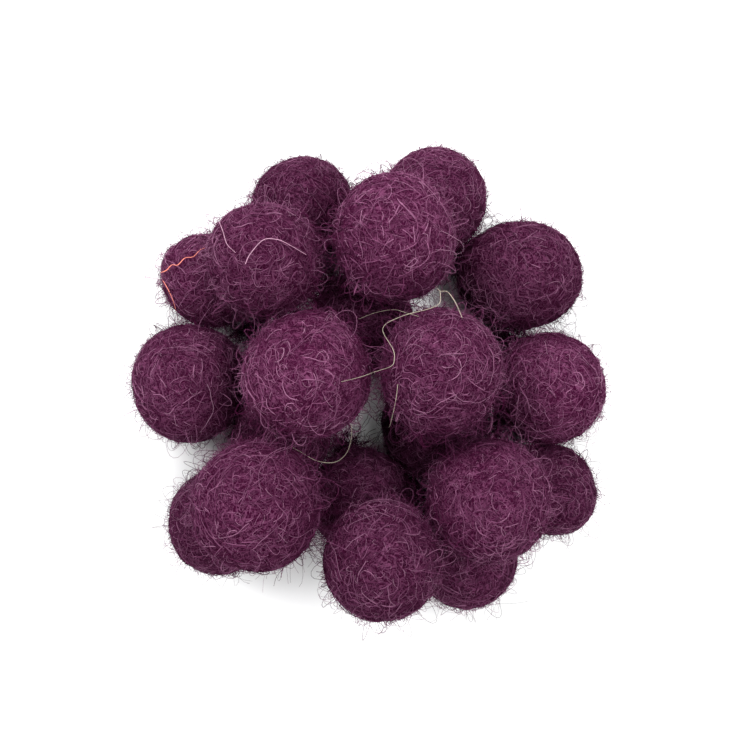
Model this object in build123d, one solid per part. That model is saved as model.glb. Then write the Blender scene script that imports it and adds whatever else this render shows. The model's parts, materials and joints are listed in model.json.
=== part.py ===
from build123d import *

import os
from dataclasses import dataclass
from math import acos, asin, atan2, cos, degrees, hypot, radians, sin, sqrt

# A loose heap of twenty hand-felted wool balls, two layers deep. Nothing joins
# the balls: each one is solid felt right through, lies where it was tipped out,
# and can be picked up once nothing rests on it.
#
# Millimetres, +Z up. The origin is on the surface that the heap lies on, under
# the middle of the heap. "Back" is towards +Y and "right" is towards +X.
# Bearings are in degrees, anticlockwise from +X, seen from above.

# Sizes of the balls. Hand-rolled balls come out a little over or under size.
BALL_DIAMETER = 25.0
SIZE_STEP = 1.0
FOOT_WIDTH = 6.0  # the flat on which a lower ball stands

# Room between the balls, so that none grips its neighbour as it is picked up.
SIDE_GAP = 0.5  # between lower balls that stand side by side
SEAT_GAP = 0.25  # under an upper ball, where it sits on lower ones
LEAN_GAP = 0.8  # between upper balls that lean together

# Wider gaps in the lower layer, where the surface shows through.
BACK_LEFT_GAP = 4.0
BACK_RIGHT_GAP = 2.2
MIDDLE_GAP = 5.1
FRONT_GAP = 4.4
FRONT_RIGHT_GAP = 1.6
UPPER_FRONT_GAP = 2.1  # between the upper front ball and the one on its left

# How many size steps each grade of ball is over or under BALL_DIAMETER.
SMALL = -2
SLIGHT = -1
MIDDLE = 0
FULL = 1
LARGE = 2


@dataclass
class Ball:
    """A felt ball's radius and the place of its centre."""

    radius: float
    centre: Vector


balls = {}


def ball_radius(grade):
    """Return the radius of a ball that is `grade` size steps from the middle size."""
    return (BALL_DIAMETER + grade * SIZE_STEP) / 2


def standing_height(radius):
    """Return how high the centre of a lower ball is above its foot."""
    return sqrt(radius**2 - (FOOT_WIDTH / 2) ** 2)


def stand(name, grade):
    """Stand the first lower ball on the surface."""
    radius = ball_radius(grade)
    balls[name] = Ball(radius, Vector(0, 0, standing_height(radius)))


def stand_beside(neighbour, name, grade, bearing, gap=SIDE_GAP):
    """Stand a lower ball beside another, at a bearing and a gap from it."""
    near = balls[neighbour]
    radius = ball_radius(grade)
    height = standing_height(radius)
    slope = asin((height - near.centre.Z) / (near.radius + radius + gap))
    reach = (near.radius + radius + gap) * cos(slope)
    x = near.centre.X + reach * cos(radians(bearing))
    y = near.centre.Y + reach * sin(radians(bearing))
    balls[name] = Ball(radius, Vector(x, y, height))


class Cradle:
    """The circle that a ball's centre can follow while the ball touches two others."""

    def __init__(self, first, second, radius, first_gap, second_gap):
        start = balls[first].centre
        first_reach = balls[first].radius + radius + first_gap
        second_reach = balls[second].radius + radius + second_gap
        span = balls[second].centre - start
        along = (first_reach**2 - second_reach**2 + span.length**2) / (2 * span.length)
        self.axis = span.normalized()
        self.middle = start + self.axis * along
        self.reach = sqrt(first_reach**2 - along**2)
        self.top = (Vector(0, 0, 1) - self.axis * self.axis.Z).normalized()
        self.side = self.axis.cross(self.top)

    def place(self, tilt):
        """Return the centre at a tilt in degrees from the circle's top, about its axis."""
        out = self.top * cos(radians(tilt)) + self.side * sin(radians(tilt))
        return self.middle + out * self.reach

    def places_against(self, third, reach):
        """Return the two places at which the ball comes to within a reach of a third one."""
        away = balls[third].centre - self.middle
        towards_top = away.dot(self.top)
        towards_side = away.dot(self.side)
        needed = (away.length**2 + self.reach**2 - reach**2) / (2 * self.reach)
        middle = degrees(atan2(towards_side, towards_top))
        swing = degrees(acos(needed / hypot(towards_top, towards_side)))
        return self.place(middle - swing), self.place(middle + swing)


def highest(place):
    """Rank places by how high they are."""
    return place.Z


def frontmost(place):
    """Rank places by how far they are to the front."""
    return -place.Y


def sit_on_two(first, second, name, grade, tilt, second_gap=SEAT_GAP):
    """Sit an upper ball on one ball and on or against a second, tilted about the two."""
    radius = ball_radius(grade)
    cradle = Cradle(first, second, radius, SEAT_GAP, second_gap)
    balls[name] = Ball(radius, cradle.place(tilt))


def sit_on_three(first, second, third, name, grade, gaps=(SEAT_GAP, SEAT_GAP), rank=highest):
    """Sit an upper ball on one ball and on or against two more, each at its own gap."""
    radius = ball_radius(grade)
    cradle = Cradle(first, second, radius, SEAT_GAP, gaps[0])
    reach = balls[third].radius + radius + gaps[1]
    balls[name] = Ball(radius, max(cradle.places_against(third, reach), key=rank))


# The lower layer, from the front middle ball outwards.
stand("lower_front_middle", SLIGHT)
stand_beside("lower_front_middle", "lower_middle_front", SLIGHT, 46)
stand_beside("lower_front_middle", "lower_left_inner", SMALL, 142)
stand_beside("lower_front_middle", "lower_front_right", SMALL, -29, FRONT_GAP)
stand_beside("lower_middle_front", "lower_middle_back", SLIGHT, 125, MIDDLE_GAP)

# The left side, round to the back.
stand_beside("lower_left_inner", "lower_front_left", SLIGHT, -125)
stand_beside("lower_left_inner", "lower_left", FULL, 147)
stand_beside("lower_left", "lower_left_back", SMALL, 79)
stand_beside("lower_left_back", "lower_back_left", SLIGHT, 35, BACK_LEFT_GAP)

# The right side, round to the back.
stand_beside("lower_front_right", "lower_right_front", SMALL, 37, FRONT_RIGHT_GAP)
stand_beside("lower_right_front", "lower_right", FULL, 91)
stand_beside("lower_right", "lower_right_back", FULL, 103)
stand_beside("lower_right_back", "lower_back_right", SLIGHT, 138, BACK_RIGHT_GAP)

# The upper layer. Each ball sits on lower ones, and some lean on each other.
on_two_and_left = (SEAT_GAP, LEAN_GAP)
between_uppers = (LEAN_GAP, UPPER_FRONT_GAP)
sit_on_two("lower_middle_back", "lower_left_inner", "upper_left", LARGE, 4.5)
sit_on_two("lower_back_right", "lower_middle_back", "upper_back", FULL, 8)
sit_on_two("lower_middle_front", "upper_left", "upper_right", FULL, 39, LEAN_GAP)
sit_on_three(
    "lower_back_left", "lower_left_back", "upper_left", "upper_left_back", MIDDLE, on_two_and_left
)
sit_on_three(
    "lower_front_left", "lower_left_inner", "upper_left", "upper_left_front", LARGE, on_two_and_left
)
sit_on_three(
    "lower_right_front", "lower_front_right", "lower_middle_front", "upper_right_front", FULL
)
sit_on_three(
    "lower_front_middle",
    "upper_right_front",
    "upper_left_front",
    "upper_front",
    SLIGHT,
    between_uppers,
    frontmost,
)

# The middle of the heap's outline, seen from above.
left = min(ball.centre.X - ball.radius for ball in balls.values())
right = max(ball.centre.X + ball.radius for ball in balls.values())
front = min(ball.centre.Y - ball.radius for ball in balls.values())
back = max(ball.centre.Y + ball.radius for ball in balls.values())
heap_middle = Vector((left + right) / 2, (front + back) / 2, 0)


def felt_solid(ball):
    """Return the ball's solid, a sphere cut flat where it stands on the surface."""
    solid = Pos(ball.centre - heap_middle) * Sphere(ball.radius)
    if ball.centre.Z < ball.radius:
        solid = split(solid, bisect_by=Plane.XY, keep=Keep.TOP)
    return solid


os.makedirs("parts", exist_ok=True)
for name, ball in balls.items():
    export_step(felt_solid(ball), f"parts/{name}.step")
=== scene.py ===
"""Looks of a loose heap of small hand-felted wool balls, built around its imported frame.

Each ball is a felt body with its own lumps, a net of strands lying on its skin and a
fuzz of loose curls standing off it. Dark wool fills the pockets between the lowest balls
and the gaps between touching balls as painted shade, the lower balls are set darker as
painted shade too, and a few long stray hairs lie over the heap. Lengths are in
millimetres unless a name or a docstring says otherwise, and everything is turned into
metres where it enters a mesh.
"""

import json
import logging
import math
import random
from dataclasses import dataclass, field
from enum import Enum

import bmesh
import bpy
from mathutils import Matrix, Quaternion, Vector, noise


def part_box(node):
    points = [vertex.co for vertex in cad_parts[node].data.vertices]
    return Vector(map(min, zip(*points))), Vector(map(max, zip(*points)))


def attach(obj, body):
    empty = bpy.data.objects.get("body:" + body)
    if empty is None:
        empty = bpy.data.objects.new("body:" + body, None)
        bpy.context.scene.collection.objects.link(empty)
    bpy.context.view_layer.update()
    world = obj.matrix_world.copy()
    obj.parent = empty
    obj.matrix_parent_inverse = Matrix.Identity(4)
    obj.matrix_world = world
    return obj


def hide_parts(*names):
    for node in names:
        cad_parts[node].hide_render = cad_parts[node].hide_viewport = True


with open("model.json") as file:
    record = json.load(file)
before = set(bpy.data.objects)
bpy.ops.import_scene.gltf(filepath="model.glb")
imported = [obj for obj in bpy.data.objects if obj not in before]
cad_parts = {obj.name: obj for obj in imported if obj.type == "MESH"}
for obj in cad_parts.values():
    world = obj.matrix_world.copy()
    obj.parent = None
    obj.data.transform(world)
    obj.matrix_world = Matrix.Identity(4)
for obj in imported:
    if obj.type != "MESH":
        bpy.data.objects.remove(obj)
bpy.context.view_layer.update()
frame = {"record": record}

MM = 0.001
UP = Vector((0.0, 0.0, 1.0))
FIBRE_CLEAR = 0.03 * MM
log = logging.getLogger("felt_heap")


class Tone(Enum):
    """Shades of dyed and undyed wool, as linear red, green and blue."""

    SHADOW = (0.016, 0.0009, 0.0080)
    DEEP = (0.041, 0.0042, 0.022)
    PLUM = (0.086, 0.019, 0.054)
    MAUVE = (0.150, 0.048, 0.103)
    DUSTY = (0.230, 0.094, 0.168)
    ASH = (0.290, 0.145, 0.222)
    PETAL = (0.520, 0.270, 0.390)
    STRAW = (0.52, 0.45, 0.35)
    ROSE = (0.95, 0.26, 0.19)

    def rgba(self, strength: float = 1.0) -> tuple[float, float, float, float]:
        """Return the shade with full alpha.

        Args:
            strength: how bright it is, as a share of the usual.
        """
        return (*(strength * part for part in self.value), 1.0)


class Batch(Enum):
    """How bright a ball's wool is: its own dye, plus painted shade for the lower balls."""

    # DEEP and DARK also paint shade onto the balls that sit low in the heap.
    DEEP = 0.58
    DARK = 0.80
    EVEN = 0.95
    PALE = 1.12


class Sum:
    """A number socket that takes part in arithmetic, adding Math nodes as it goes."""

    def __init__(self, graph: "Graph", socket: bpy.types.NodeSocket) -> None:
        """Wrap a socket of a graph."""
        self.graph = graph
        self.socket = socket

    def maths(self, operation: str, *values: "Sum | float") -> "Sum":
        """Add one Math node.

        Args:
            operation: the node's operation.
            values: its inputs, in order.

        Returns:
            The node's result.
        """
        node = self.graph.add("ShaderNodeMath", {"operation": operation}, dict(enumerate(values)))
        return Sum(self.graph, node.outputs[0])

    def __add__(self, other: "Sum | float") -> "Sum":
        """Return self + other."""
        return self.maths("ADD", self, other)

    def __sub__(self, other: "Sum | float") -> "Sum":
        """Return self - other."""
        return self.maths("SUBTRACT", self, other)

    def __rsub__(self, other: float) -> "Sum":
        """Return other - self."""
        return self.maths("SUBTRACT", other, self)

    def __mul__(self, other: "Sum | float") -> "Sum":
        """Return self * other."""
        return self.maths("MULTIPLY", self, other)

    __rmul__ = __mul__

    def __truediv__(self, other: "Sum | float") -> "Sum":
        """Return self / other."""
        return self.maths("DIVIDE", self, other)

    def __abs__(self) -> "Sum":
        """Return the size of self."""
        return self.maths("ABSOLUTE", self)

    def at_least(self, other: "Sum | float") -> "Sum":
        """Return the larger of self and other."""
        return self.maths("MAXIMUM", self, other)

    def at_most(self, other: "Sum | float") -> "Sum":
        """Return the smaller of self and other."""
        return self.maths("MINIMUM", self, other)


class Graph:
    """The node tree of one material, ending in a Principled shader."""

    def __init__(self, name: str) -> None:
        """Make an empty material of a name, with its shader and output."""
        self.material = bpy.data.materials.new(name)
        self.material.use_nodes = True
        self.tree = self.material.node_tree
        self.tree.nodes.clear()
        self.shader = self.add("ShaderNodeBsdfPrincipled", {}, {})
        self.add("ShaderNodeOutputMaterial", {}, {"Surface": self.shader.outputs[0]})

    def add(self, kind: str, settings: dict, sockets: dict) -> bpy.types.Node:
        """Add one node.

        Args:
            kind: the node's type.
            settings: its own settings, set first.
            sockets: values or links for its inputs, by name or number.

        Returns:
            The new node.
        """
        node = self.tree.nodes.new(kind)
        for key, value in settings.items():
            setattr(node, key, value)
        for key, value in sockets.items():
            self.feed(node.inputs[key], value)
        return node

    def feed(self, socket: bpy.types.NodeSocket, value: object) -> None:
        """Link a socket, a Sum or a node's first output to an input, or set its value."""
        if isinstance(value, Sum):
            self.tree.links.new(value.socket, socket)
        elif isinstance(value, bpy.types.NodeSocket):
            self.tree.links.new(value, socket)
        elif isinstance(value, bpy.types.Node):
            self.tree.links.new(value.outputs[0], socket)
        else:
            socket.default_value = value

    def places(self) -> bpy.types.Node:
        """Return the place on the piece, in millimetres."""
        coordinates = self.add("ShaderNodeTexCoord", {}, {})
        return self.add(
            "ShaderNodeVectorMath",
            {"operation": "SCALE"},
            {0: coordinates.outputs["Object"], "Scale": 1 / MM},
        )

    def cloud(self, where: object, size: float, detail: float = 2.0, swirl: float = 0.0) -> Sum:
        """Return a soft noise from 0 to 1.

        Args:
            where: a place in millimetres.
            size: how far apart its patches are, in millimetres.
            detail: how many finer octaves it has.
            swirl: how far it is twisted.
        """
        sockets = {"Vector": where, "Scale": 1 / size, "Detail": detail, "Distortion": swirl}
        return Sum(self, self.add("ShaderNodeTexNoise", {}, sockets).outputs[0])

    def mix(self, share: object, first: object, second: object) -> bpy.types.NodeSocket:
        """Return a colour that goes from first to second as share goes from 0 to 1."""
        node = self.add("ShaderNodeMix", {"data_type": "RGBA"}, {"Factor": share})
        self.feed(node.inputs[6], first)
        self.feed(node.inputs[7], second)
        return node.outputs[2]


@dataclass(frozen=True)
class FeltFinish:
    """Matted, dyed wool: a dark ground with a net of lighter curled strands in it."""

    batch: Batch
    warp: float = 1.6
    warp_size: float = 4.5
    strand_sizes: tuple[float, ...] = (1.7, 1.0, 0.6)
    strand_width: float = 0.04
    patch_size: float = 9.0
    grain_size: float = 0.45
    relief: float = 0.12
    roughness: float = 0.97

    def strand_net(self, graph: Graph, swirled: bpy.types.Node) -> Sum:
        """Return 1 on the strands of the net and 0 between them.

        Args:
            graph: the material's nodes.
            swirled: the twisted place in which the strands are drawn.
        """
        net = None
        for number, size in enumerate(self.strand_sizes):
            offset = {0: swirled, 1: (17.0 * number, 5.0, 9.0)}
            shifted = graph.add("ShaderNodeVectorMath", {"operation": "ADD"}, offset)
            line = graph.cloud(shifted, size, 1.0, 0.8)
            strand = (1.2 - abs(line - 0.5) / self.strand_width).at_least(0.0).at_most(1.0)
            net = strand if net is None else net.at_least(strand)
        return net

    def material(self) -> bpy.types.Material:
        """Build the material."""
        graph = Graph(f"felt_{self.batch.name.lower()}")
        place = graph.places()
        sockets = {"Vector": place, "Scale": 1 / self.warp_size, "Detail": 2.0}
        twist = graph.add("ShaderNodeTexNoise", {}, sockets)
        sockets = {0: twist.outputs[1], 1: (0.5, 0.5, 0.5)}
        centred = graph.add("ShaderNodeVectorMath", {"operation": "SUBTRACT"}, sockets)
        sockets = {0: centred, "Scale": 2 * self.warp}
        pulled = graph.add("ShaderNodeVectorMath", {"operation": "SCALE"}, sockets)
        swirled = graph.add("ShaderNodeVectorMath", {"operation": "ADD"}, {0: place, 1: pulled})

        shades = {tone: tone.rgba(self.batch.value) for tone in Tone}
        net = self.strand_net(graph, swirled)
        patch = graph.cloud(place, self.patch_size)
        grain = graph.cloud(swirled, self.grain_size)
        ground = graph.mix(grain, shades[Tone.SHADOW], shades[Tone.DEEP])
        lit = graph.mix(patch, shades[Tone.DEEP], shades[Tone.MAUVE])
        graph.feed(graph.shader.inputs["Base Color"], graph.mix(net, ground, lit))

        sockets = {"Strength": 0.9, "Distance": self.relief * MM, "Height": net + grain * 0.6}
        graph.feed(graph.shader.inputs["Normal"], graph.add("ShaderNodeBump", {}, sockets))
        graph.feed(graph.shader.inputs["Roughness"], self.roughness - 0.12 * net)
        graph.shader.inputs["Specular IOR Level"].default_value = 0.0
        return graph.material


@dataclass(frozen=True)
class FibreFinish:
    """One single wool fibre's dye, even along the fibre because the wool is dyed through."""

    tone: Tone
    roughness: float = 0.8
    shine: float = 0.03

    def material(self, batch: Batch) -> bpy.types.Material:
        """Build the material.

        Args:
            batch: how deep its colour is, from its dye and from painted shade.
        """
        graph = Graph(f"fibre_{self.tone.name.lower()}_{batch.name.lower()}")
        graph.shader.inputs["Base Color"].default_value = self.tone.rgba(batch.value)
        graph.shader.inputs["Roughness"].default_value = self.roughness
        graph.shader.inputs["Specular IOR Level"].default_value = self.shine
        return graph.material


@dataclass(frozen=True)
class HairFinish:
    """A coarse stray hair, darker in places along its length."""

    tone: Tone
    streak_size: float = 2.5
    darkest: float = 0.55
    lightest: float = 1.15
    roughness: float = 0.55

    def material(self) -> bpy.types.Material:
        """Build the material."""
        graph = Graph(f"hair_{self.tone.name.lower()}")
        streak = graph.cloud(graph.places(), self.streak_size)
        colour = graph.mix(streak, self.tone.rgba(self.darkest), self.tone.rgba(self.lightest))
        graph.feed(graph.shader.inputs["Base Color"], colour)
        graph.shader.inputs["Roughness"].default_value = self.roughness
        return graph.material


@dataclass(frozen=True)
class TableFinish:
    """A plain, pale, slightly mottled table top."""

    shade: tuple[float, float, float, float] = (0.76, 0.76, 0.77, 1.0)
    mottle: tuple[float, float, float, float] = (0.79, 0.79, 0.79, 1.0)
    mottle_size: float = 60.0
    roughness: float = 0.7

    def material(self) -> bpy.types.Material:
        """Build the material."""
        graph = Graph("table_white")
        cloud = graph.cloud(graph.places(), self.mottle_size, 3.0)
        graph.feed(graph.shader.inputs["Base Color"], graph.mix(cloud, self.shade, self.mottle))
        graph.shader.inputs["Roughness"].default_value = self.roughness
        return graph.material


@dataclass
class DyeBath:
    """The felt and the fibres that share one depth of colour, from dye and painted shade."""

    batch: Batch
    tones: tuple[Tone, ...] = (Tone.DEEP, Tone.PLUM, Tone.MAUVE, Tone.DUSTY, Tone.ASH)

    def __post_init__(self) -> None:
        """Build the batch's materials."""
        self.felt = FeltFinish(self.batch).material()
        self.fibres = [FibreFinish(tone).material(self.batch) for tone in self.tones]


@dataclass
class Strand:
    """One fibre: its points, how thick it is at each, and which dye it has."""

    points: list[Vector]
    widths: list[float]
    dye: int


@dataclass
class Tangle:
    """A set of fibres that becomes one mesh of thin three-sided tubes."""

    name: str
    dyes: list[bpy.types.Material]
    strands: list[Strand] = field(default_factory=list)

    def section(self) -> bpy.types.Object:
        """Return the triangle that each fibre is drawn along."""
        curve = bpy.data.curves.new("fibre_section", "CURVE")
        curve.dimensions = "2D"
        spline = curve.splines.new("POLY")
        spline.points.add(2)
        for number, point in enumerate(spline.points):
            angle = math.tau * number / 3
            point.co = (MM / 2 * math.cos(angle), MM / 2 * math.sin(angle), 0.0, 1.0)
        spline.use_cyclic_u = True
        triangle = bpy.data.objects.new("fibre_section", curve)
        bpy.context.scene.collection.objects.link(triangle)
        return triangle

    def build(self) -> bpy.types.Object:
        """Draw the fibres and return their mesh as an object."""
        curve = bpy.data.curves.new(self.name, "CURVE")
        curve.dimensions = "3D"
        curve.bevel_mode = "OBJECT"
        curve.bevel_object = self.section()
        curve.use_fill_caps = True
        for dye in self.dyes:
            curve.materials.append(dye)
        for strand in self.strands:
            spline = curve.splines.new("POLY")
            spline.points.add(len(strand.points) - 1)
            flat = [value for point in strand.points for value in (*point, 1.0)]
            spline.points.foreach_set("co", flat)
            spline.points.foreach_set("radius", strand.widths)
            spline.material_index = strand.dye
        drawn = bpy.data.objects.new(self.name, curve)
        bpy.context.scene.collection.objects.link(drawn)
        shown = drawn.evaluated_get(bpy.context.evaluated_depsgraph_get())
        mesh = bpy.data.meshes.new_from_object(shown)
        bpy.data.objects.remove(curve.bevel_object)
        bpy.data.objects.remove(drawn)
        mesh.name = self.name
        mesh.shade_smooth()
        piece = bpy.data.objects.new(self.name, mesh)
        bpy.context.scene.collection.objects.link(piece)
        return piece


@dataclass(frozen=True)
class Habit:
    """How one kind of fibre grows on a ball, with lengths in millimetres.

    A fibre runs along the skin while it rises from it and comes back, except that a
    loose one ends in the air. It starts out level, give or take its slew in radians.
    A larger low keeps more of the fibres near the skin, a smaller arch makes them rise
    more steeply, and loose is the share of them that end in the air.
    """

    count: int
    steps: int
    length: tuple[float, float]
    height: tuple[float, float]
    width: tuple[float, float]
    curl: float
    shares: tuple[float, float, float, float, float]
    wobble: float = 0.2
    low: float = 1.0
    arch: float = 0.5
    loose: float = 0.0
    slew: float = 3.2


# Shares of the five dyes, from the deepest to the palest.
MATTED = (0.12, 0.40, 0.36, 0.12, 0.0)
FUZZY = (0.10, 0.30, 0.36, 0.21, 0.03)
# A dark mix that paints the shade between the balls and where they touch.
CAUGHT = (0.45, 0.38, 0.14, 0.03, 0.0)
NET = (
    Habit(480, 6, (2.6, 6.5), (0.04, 0.30), (0.15, 0.25), 0.20, MATTED, slew=0.9),
    Habit(560, 4, (1.4, 3.4), (0.02, 0.20), (0.12, 0.20), 0.40, MATTED, slew=1.2),
    Habit(20, 13, (7.0, 16.0), (0.25, 0.60), (0.12, 0.18), 0.10, FUZZY, wobble=0.20, arch=0.4, slew=0.6),
)
FUZZ = (
    Habit(660, 3, (0.5, 1.6), (0.15, 1.00), (0.06, 0.09), 0.70, FUZZY, low=1.3, arch=0.8),
    Habit(520, 5, (1.2, 3.4), (0.30, 1.90), (0.06, 0.10), 0.60, FUZZY, low=2.2, arch=0.8),
    Habit(290, 8, (2.0, 7.0), (0.60, 4.60), (0.06, 0.10), 0.45, FUZZY, low=2.2, arch=1.0, loose=0.4),
    Habit(24, 12, (5.0, 12.0), (1.5, 6.5), (0.06, 0.09), 0.22, FUZZY, wobble=0.15, arch=1.0, loose=0.7),
)
# Tufts reaching towards each neighbour, dyed with the dark mix as painted shade in the gap.
TUFT = Habit(36, 5, (2.0, 6.0), (0.40, 3.50), (0.10, 0.16), 0.50, CAUGHT, arch=0.9, loose=0.3)
TUFT_SPREAD = 60.0


@dataclass(frozen=True)
class Make:
    """How one ball came out of the felting.

    It has its depth of colour, from dye and painted shade, and how far its skin stands out
    beyond a true ball towards -X, +X, -Y and +Y, in millimetres.
    """

    batch: Batch = Batch.EVEN
    left: float = 0.0
    right: float = 0.0
    front: float = 0.0
    back: float = 0.0

    def bulge(self, out: Vector) -> float:
        """Return how far the skin stands out in a direction, in millimetres.

        Args:
            out: a unit vector from the ball's centre.
        """
        sides = ((self.left, -out.x), (self.right, out.x), (self.front, -out.y), (self.back, out.y))
        return sum(size * max(share, 0.0) ** 2 for size, share in sides)


# Each ball's colour depth is partly its own dye and partly painted shade: DEEP on the two hidden balls
# paints their shade, and DARK on the lower balls is partly painted shade.
MAKES = {
    "lower_back_left": Make(Batch.DARK, left=0.9, right=-1.1, back=-0.5),
    "lower_back_right": Make(Batch.EVEN, left=0.6),
    "lower_right_back": Make(Batch.DARK, left=1.9, right=0.8, front=-1.0),
    "lower_left_back": Make(Batch.PALE, left=0.2, front=0.8, back=-2.1),
    "lower_left": Make(Batch.EVEN, front=1.9, back=-0.3),
    "lower_right": Make(Batch.PALE, right=0.3, front=0.3),
    "lower_right_front": Make(Batch.DARK, right=-0.4, front=-2.1, back=0.3),
    "lower_front_right": Make(Batch.EVEN, right=0.9, front=0.5),
    "lower_front_left": Make(Batch.DARK, left=0.2, front=0.6),
    "lower_front_middle": Make(Batch.DARK),
    "lower_middle_back": Make(Batch.DARK),
    "lower_middle_front": Make(Batch.DEEP, front=0.5, back=-0.6),
    "lower_left_inner": Make(Batch.DEEP, left=-0.5),
    "upper_left_back": Make(Batch.EVEN, left=-0.7, right=-0.4, back=-1.2),
    "upper_back": Make(Batch.PALE, left=-1.4, right=0.7, back=1.3),
    "upper_left": Make(Batch.PALE, front=-0.7, back=0.8),
    "upper_right": Make(Batch.EVEN, left=-1.4, right=0.4, front=1.5, back=-0.9),
    "upper_left_front": Make(Batch.EVEN, left=0.5, right=-0.8),
    "upper_front": Make(Batch.DARK),
    "upper_right_front": Make(Batch.EVEN),
}


@dataclass
class FeltBall:
    """One hand-felted ball: its body, the strands on its skin and its loose fuzz.

    Its oval, lump, dimple and shrink are shares of its radius, and its tuck is how deep
    the ends of a fibre are in the felt, in millimetres. Its fibres take the dark mix as
    painted shade where the cosine of their angle to a touching ball passes a number
    drawn from a given range.
    """

    node: str
    body: str
    seed: int
    bath: DyeBath
    make: Make
    oval: float = 0.016
    lump: float = 0.016
    dimple: float = 0.010
    shrink: float = 0.015
    tuck: float = 0.15
    rub: tuple[float, float] = (0.60, 0.90)
    facets: int = 5

    def __post_init__(self) -> None:
        """Take the ball's place and size from its CAD node."""
        low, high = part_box(self.node)
        self.radius = (high.x - low.x) / 2
        self.centre = Vector(((low.x + high.x) / 2, (low.y + high.y) / 2, high.z - self.radius))
        self.chance = random.Random(self.seed)
        self.drift = Vector((self.seed * 7.3, self.seed * 3.1, self.seed * 5.7))
        self.touching: list[Vector] = []

    def skin(self, out: Vector) -> float:
        """Return the felt's radius in a direction, in metres.

        Args:
            out: a unit vector from the ball's centre.
        """
        swell = self.oval * noise.noise(out * 0.8 + self.drift)
        swell += self.lump * noise.noise(out * 2.4 - self.drift)
        swell += self.dimple * noise.noise(out * 7.0 + self.drift)
        return self.radius * (1.0 - self.shrink + swell) + self.make.bulge(out) * MM

    def above_table(self, place: Vector, clear: float = 0.0) -> Vector:
        """Return a place no lower than the table, plus a clearance in metres."""
        return Vector((place.x, place.y, max(place.z, clear)))

    def off_skin(self, out: Vector, height: float) -> Vector:
        """Return the place above the skin in a direction.

        Args:
            out: a unit vector from the ball's centre.
            height: how far off the skin, in millimetres.
        """
        return self.above_table(self.centre + out * (self.skin(out) + height * MM), FIBRE_CLEAR)

    def build_felt(self) -> bpy.types.Object:
        """Return the felt body, an uneven ball that is flat where it stands."""
        shape = bmesh.new()
        bmesh.ops.create_icosphere(shape, subdivisions=self.facets, radius=1.0)
        for vertex in shape.verts:
            out = vertex.co.normalized()
            vertex.co = self.above_table(self.centre + out * self.skin(out))
        for face in shape.faces:
            face.smooth = True
        mesh = bpy.data.meshes.new(f"felt_{self.node}")
        shape.to_mesh(mesh)
        shape.free()
        mesh.materials.append(self.bath.felt)
        piece = bpy.data.objects.new(mesh.name, mesh)
        bpy.context.scene.collection.objects.link(piece)
        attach(piece, self.body)
        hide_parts(self.node)
        return piece

    def heading(self) -> Vector:
        """Return a unit vector in any direction, all being as likely."""
        return Vector([self.chance.gauss(0, 1) for _ in range(3)]).normalized()

    def towards(self, other: "FeltBall", spread: float) -> Vector:
        """Return a unit vector more or less towards another ball.

        Args:
            other: the other ball.
            spread: the most degrees that it may be off.
        """
        out = (other.centre - self.centre).normalized()
        side = self.heading().cross(out).normalized()
        out.rotate(Quaternion(side, math.radians(spread) * self.chance.uniform(0.04, 1.0) ** 0.5))
        return out

    def dye(self, shares: tuple[float, ...], out: Vector) -> int:
        """Pick one of the dyes by its share, or one from the dark mix as painted shade where another
        ball touches.

        Args:
            shares: how much of each dye there is elsewhere.
            out: the direction from the ball's centre.
        """
        # Near a touching ball the fibre takes the dark mix: painted shade where the balls meet.
        rubbed = any(out.dot(side) > self.chance.uniform(*self.rub) for side in self.touching)
        return self.chance.choices(range(len(shares)), CAUGHT if rubbed else shares)[0]

    def grow(self, habit: Habit, out: Vector) -> Strand:
        """Return one fibre of a kind, which walks over the ball on a curling line.

        Args:
            habit: the kind.
            out: the direction from the ball's centre in which it starts.
        """
        level = out.cross(UP)
        ahead = (level if level.length > 0.05 else out.orthogonal()).normalized()
        ahead.rotate(Quaternion(out, self.chance.uniform(-habit.slew, habit.slew)))
        stride = self.chance.uniform(*habit.length) / habit.steps
        low, high = habit.height
        rise = self.tuck + low + (high - low) * self.chance.random() ** habit.low
        curl = self.chance.gauss(0, habit.curl)
        loose = self.chance.random() < habit.loose
        phase = self.chance.uniform(0, math.tau)
        width = self.chance.uniform(*habit.width)
        dye = self.dye(habit.shares, out)
        points, widths = [], []
        for number in range(habit.steps + 1):
            share = number / habit.steps
            arch = math.sin(math.pi * share) ** habit.arch
            if loose:
                arch = share**1.3 * (1 + 0.25 * math.sin(phase + 5.0 * share))
            points.append(self.off_skin(out, rise * arch - self.tuck))
            widths.append(width * (1.0 - 0.4 * share if loose else 1.0))
            turn = Quaternion(out.cross(ahead).normalized(), stride * MM / self.radius)
            out.rotate(turn)
            ahead.rotate(turn)
            bend = (curl + self.chance.gauss(0, habit.wobble)) * stride
            ahead.rotate(Quaternion(out, bend))
        return Strand(points, widths, dye)

    def bridge(self, other: "FeltBall", steps: int = 6, spread: float = 38.0) -> Strand:
        """Return a fibre that wanders from this ball to just short of a neighbour's skin.

        Args:
            other: the neighbour.
            steps: how many points after the first.
            spread: the most degrees that its ends may be off the line between the balls.
        """
        first = self.off_skin(self.towards(other, spread), -self.tuck)
        last = other.off_skin(other.towards(self, spread), 0.1)
        bow, twist = self.heading(), self.heading()
        size = (last - first).length * self.chance.uniform(0.1, 0.35)
        phase = self.chance.uniform(0, math.tau)
        points = []
        for number in range(steps + 1):
            share = number / steps
            sway = (bow + twist * math.sin(phase + 6.0 * share)) * size * math.sin(math.pi * share)
            points.append(self.above_table(first.lerp(last, share) + sway, FIBRE_CLEAR))
        width = self.chance.uniform(0.07, 0.12)
        # The bridging fibre takes the dark mix, as painted shade in the gap between the balls.
        return Strand(points, [width] * (steps + 1), self.dye(CAUGHT, self.heading()))

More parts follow.
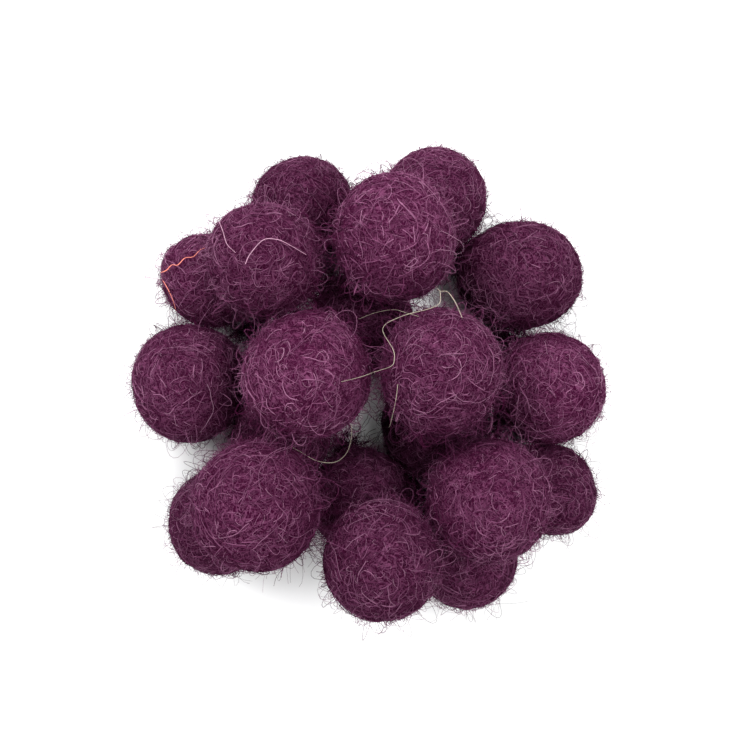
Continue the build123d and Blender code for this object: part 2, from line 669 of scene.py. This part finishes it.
    def build_fibres(self, name: str, strands: list[Strand]) -> bpy.types.Object:
        """Return one mesh of some of the ball's fibres, riding with the ball.

        Args:
            name: the first word of the piece's name.
            strands: the fibres.
        """
        piece = Tangle(f"{name}_{self.node}", self.bath.fibres, strands).build()
        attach(piece, self.body)
        return piece

    def build(self, neighbours: list["FeltBall"], bridges: int = 9) -> list[bpy.types.Object]:
        """Build the whole ball and return its pieces.

        Args:
            neighbours: the balls that its loose wool has caught on.
            bridges: how many fibres cross to each of them.
        """
        self.touching = [(other.centre - self.centre).normalized() for other in neighbours]
        pieces = [self.build_felt()]
        net = [self.grow(habit, self.heading()) for habit in NET for _ in range(habit.count)]
        fuzz = [self.grow(habit, self.heading()) for habit in FUZZ for _ in range(habit.count)]
        for other in neighbours:
            fuzz += [self.grow(TUFT, self.towards(other, TUFT_SPREAD)) for _ in range(TUFT.count)]
            fuzz += [self.bridge(other) for _ in range(bridges)]
        return pieces + [self.build_fibres("strands", net), self.build_fibres("fuzz", fuzz)]


@dataclass
class Lint:
    """Dark wool fibres in the pockets between the lowest balls, as painted shade there.

    Its pockets are places on the table, its spread is how far fibres lie from them, its
    heights are where they start above the table, and its stride is between two points of
    a fibre, all in millimetres. Its turn is in radians, and its dyes are numbers of the
    fibres of its colour set.
    """

    body: str = "heap_core"
    pockets: tuple[tuple[float, float], ...] = (
        (29.6, -13.1), (-29.0, 11.9), (-27.0, -13.0), (10.5, -23.8), (10.5, -31.4),
        (22.4, 30.5), (33.8, 11.7), (-5.0, -18.5), (-11.0, 22.0),
    )
    count: int = 220
    steps: int = 5
    spread: float = 2.5
    heights: tuple[float, float] = (0.4, 8.0)
    lowest: float = 0.2
    stride: float = 1.1
    turn: float = 0.6
    climb: float = 0.25
    width: tuple[float, float] = (0.12, 0.22)
    dyes: tuple[int, ...] = (0, 0, 1)
    seed: int = 40

    def strand(self, x: float, y: float, chance: random.Random) -> Strand:
        """Return one fibre, which curls nearly level from somewhere in a pocket.

        Args:
            x: the pocket's place along X.
            y: the pocket's place along Y.
            chance: where its random numbers come from.
        """
        around = chance.gauss(x, self.spread), chance.gauss(y, self.spread)
        place = Vector((*around, chance.uniform(*self.heights)))
        course = chance.uniform(0, math.tau)
        points = []
        for _ in range(self.steps + 1):
            points.append(place * MM)
            course += chance.gauss(0, self.turn)
            ahead = Vector((math.cos(course), math.sin(course), chance.gauss(0, self.climb)))
            place = place + self.stride * ahead
            place.z = max(place.z, self.lowest)
        width = chance.uniform(*self.width)
        return Strand(points, [width] * len(points), chance.choice(self.dyes))

    def strands(self) -> list[Strand]:
        """Return the fibres of every pocket."""
        chance = random.Random(self.seed)
        return [self.strand(x, y, chance) for x, y in self.pockets for _ in range(self.count)]

    def build(self) -> bpy.types.Object:
        """Draw the lint and return its piece."""
        # The darkest fibres of the deepest set, put here as painted shade in the pockets.
        piece = Tangle("shed_lint", DyeBath(Batch.DEEP).fibres, self.strands()).build()
        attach(piece, self.body)
        return piece


@dataclass
class StrayHair:
    """One long hair caught on the heap, given by the places that it passes, in millimetres."""

    name: str
    body: str
    tone: Tone
    spots: tuple[tuple[float, float, float], ...]
    width: float = 0.16
    steps: int = 6

    def smooth(self) -> list[Vector]:
        """Return points along a smooth line through the spots, in metres."""
        spots = [Vector(spot) * MM for spot in self.spots]
        spots = [2 * spots[0] - spots[1], *spots, 2 * spots[-1] - spots[-2]]
        points = []
        for a, b, c, d in zip(spots, spots[1:], spots[2:], spots[3:]):
            for number in range(self.steps):
                t = number / self.steps
                pull = (c - a) * t + (2 * a - 5 * b + 4 * c - d) * t**2
                points.append(b + (pull + (3 * b - a - 3 * c + d) * t**3) / 2)
        return [*points, spots[-2]]

    def build(self) -> bpy.types.Object:
        """Draw the hair and return its piece."""
        points = self.smooth()
        widths = [self.width * (1.0 - 0.4 * n / len(points)) for n in range(len(points))]
        hair = Strand(points, widths, 0)
        piece = Tangle(self.name, [HairFinish(self.tone).material()], [hair]).build()
        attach(piece, self.body)
        return piece


@dataclass
class Heap:
    """All the balls, and the dark wool caught or shed between them, which paints the shade there.

    Its reach is the widest gap, in millimetres, that the wool of two balls crosses.
    """

    reach: float = 6.0

    def balls(self) -> list[FeltBall]:
        """Return every ball of the frame, each with its own seed and its dyed and shaded colour set."""
        baths = {batch: DyeBath(batch) for batch in Batch}
        bodies = frame["record"]["behaviour"]["bodies"]
        homes = sorted((node, body) for body, nodes in bodies.items() for node in nodes)
        balls = []
        for number, (node, body) in enumerate(homes, start=1):
            make = MAKES.get(node, Make())
            balls.append(FeltBall(node, body, number, baths[make.batch], make))
        return balls

    def near(self, ball: FeltBall, others: list[FeltBall]) -> list[FeltBall]:
        """Return those of the other balls whose skin is within reach of a ball's."""
        limit = self.reach * MM
        return [
            other
            for other in others
            if other is not ball
            and (other.centre - ball.centre).length - other.radius - ball.radius < limit
        ]

    def build(self) -> None:
        """Build every ball, and log its pieces."""
        balls = self.balls()
        for ball in balls:
            pieces = ball.build(self.near(ball, balls))
            counts = [f"{piece.name} {len(piece.data.polygons)}" for piece in pieces]
            log.info("%s: %s faces", ball.node, ", ".join(counts))
        log.info("lint: %s", Lint().build().name)


@dataclass(frozen=True)
class Lamp:
    """One round soft lamp, aimed at the heap.

    Its bearing is in degrees from +X towards +Y, its lean in degrees from straight up,
    its power in watts, and its width and distance in metres.
    """

    name: str
    bearing: float
    lean: float
    power: float
    width: float = 0.45
    distance: float = 0.65

    def build(self) -> None:
        """Hang the lamp."""
        lamp = bpy.data.lights.new(self.name, "AREA")
        lamp.shape = "DISK"
        lamp.size = self.width
        lamp.energy = self.power
        turn, lean = math.radians(self.bearing), math.radians(self.lean)
        away = Vector((math.cos(turn) * math.sin(lean), math.sin(turn) * math.sin(lean), math.cos(lean)))
        holder = bpy.data.objects.new(self.name, lamp)
        holder.location = away * self.distance
        holder.rotation_euler = (-away).to_track_quat("-Z", "Y").to_euler()
        bpy.context.scene.collection.objects.link(holder)


@dataclass
class Studio:
    """The table, the lamps and the camera, which looks straight down on the heap."""

    table_width: float = 3.0
    lamps: tuple[Lamp, ...] = (
        Lamp("right_lamp", 8.0, 28.0, 5.2),
        Lamp("left_lamp", 140.0, 48.0, 5.2),
        Lamp("back_lamp", 90.0, 52.0, 3.1),
        Lamp("front_lamp", 270.0, 55.0, 2.0),
    )
    sky: float = 0.07
    eye: tuple[float, float, float] = (0.0015, 0.0006, 0.184)
    lens: float = 35.15

    def build_table(self) -> bpy.types.Object:
        """Return the table top, which is not part of the heap."""
        shape = bmesh.new()
        bmesh.ops.create_grid(shape, x_segments=8, y_segments=8, size=self.table_width / 2)
        mesh = bpy.data.meshes.new("table_top")
        shape.to_mesh(mesh)
        shape.free()
        mesh.materials.append(TableFinish().material())
        table = bpy.data.objects.new("table_top", mesh)
        bpy.context.scene.collection.objects.link(table)
        return table

    def build_lights(self) -> None:
        """Add the lamps and an even pale sky."""
        for lamp in self.lamps:
            lamp.build()
        world = bpy.data.worlds.new("pale_room")
        world.use_nodes = True
        background = world.node_tree.nodes["Background"]
        background.inputs["Color"].default_value = (1.0, 1.0, 1.0, 1.0)
        background.inputs["Strength"].default_value = self.sky
        bpy.context.scene.world = world

    def build_camera(self) -> bpy.types.Object:
        """Return the camera."""
        view = bpy.data.cameras.new("overhead")
        view.lens = self.lens
        view.sensor_width = 36.0
        view.clip_start = 0.005
        camera = bpy.data.objects.new("overhead", view)
        camera.location = self.eye
        bpy.context.scene.collection.objects.link(camera)
        bpy.context.scene.camera = camera
        return camera

    def build(self) -> None:
        """Build the whole studio."""
        self.build_table()
        self.build_lights()
        self.build_camera()
        bpy.context.scene.view_settings.view_transform = "Standard"


def stray_hairs() -> list[StrayHair]:
    """Return the pale and rose hairs, each riding on the ball that it mostly lies on."""
    right, left, back = "upper_right_ball", "upper_left_ball", "upper_left_back_ball"
    return [
        StrayHair(
            "pale_hair_right", right, Tone.STRAW,
            ((14.0, 18.9, 33.0), (14.5, 17.3, 38.0), (15.8, 17.0, 39.5), (17.2, 14.7, 41.2),
             (18.4, 11.7, 42.0)),
        ),
        StrayHair(
            "pale_hair_over", right, Tone.STRAW,
            ((14.5, 17.3, 38.0), (14.3, 14.9, 39.4), (12.4, 13.7, 40.3), (8.5, 12.7, 40.0),
             (6.2, 12.0, 38.9), (4.0, 11.0, 38.2), (3.1, 10.0, 37.9), (3.3, 8.7, 38.2),
             (5.0, 5.5, 42.4), (5.2, 3.6, 43.0), (4.6, 2.3, 42.6), (1.4, 1.2, 39.5),
             (-1.4, 0.2, 39.5), (-5.0, -0.7, 42.6)),
        ),
        StrayHair(
            "pale_hair_back", right, Tone.STRAW,
            ((-2.0, 12.6, 27.0), (1.5, 13.6, 31.0), (5.2, 13.8, 36.0), (7.6, 12.9, 39.4),
             (10.0, 12.0, 41.4)),
            width=0.10,
        ),
        StrayHair(
            "pale_hair_front", right, Tone.STRAW,
            ((5.9, -1.2, 43.2), (5.6, -4.1, 41.2), (5.1, -7.0, 38.5), (4.6, -9.6, 34.0),
             (4.4, -10.5, 29.0)),
            width=0.13,
        ),
        StrayHair(
            "pale_hair_loop", left, Tone.STRAW,
            ((-3.3, -9.3, 35.8), (-3.4, -12.5, 33.0), (-4.6, -16.0, 29.5), (-7.2, -18.0, 28.0),
             (-10.9, -17.6, 28.5), (-14.0, -15.4, 31.5), (-15.2, -14.2, 35.0)),
            width=0.13,
        ),
        StrayHair(
            "rose_hair_long", "lower_left_back_ball", Tone.ROSE,
            ((-47.0, 23.8, 18.2), (-45.2, 24.0, 20.2), (-43.6, 25.1, 21.2), (-42.0, 24.9, 22.4),
             (-40.4, 26.4, 22.5), (-38.4, 26.6, 23.2), (-36.8, 28.3, 22.7), (-34.6, 28.8, 22.8)),
            width=0.26,
        ),
        StrayHair(
            "rose_hair_short", "lower_left_back_ball", Tone.ROSE,
            ((-46.6, 22.1, 18.0), (-45.0, 20.0, 19.8), (-43.8, 17.5, 20.0), (-43.6, 15.2, 18.0)),
            width=0.2,
        ),
        StrayHair(
            "pink_hair_arch", back, Tone.PETAL,
            ((-23.5, 22.0, 42.9), (-22.5, 23.9, 43.2), (-20.0, 26.6, 43.1), (-17.5, 26.8, 42.5),
             (-15.7, 26.2, 41.8), (-12.1, 24.4, 39.2)),
            width=0.2,
        ),
        StrayHair(
            "pink_hair_side", back, Tone.PETAL,
            ((-29.4, 31.0, 38.6), (-28.2, 28.6, 40.8), (-27.2, 26.0, 42.0), (-25.4, 24.2, 42.7)),
            width=0.18,
        ),
    ]


def main() -> None:
    """Build the studio, the heap and its stray hairs."""
    logging.basicConfig(level=logging.INFO, format="%(message)s")
    Studio().build()
    Heap().build()
    for hair in stray_hairs():
        log.info("stray hair: %s", hair.build().name)


if __name__ == "__main__":
    main()
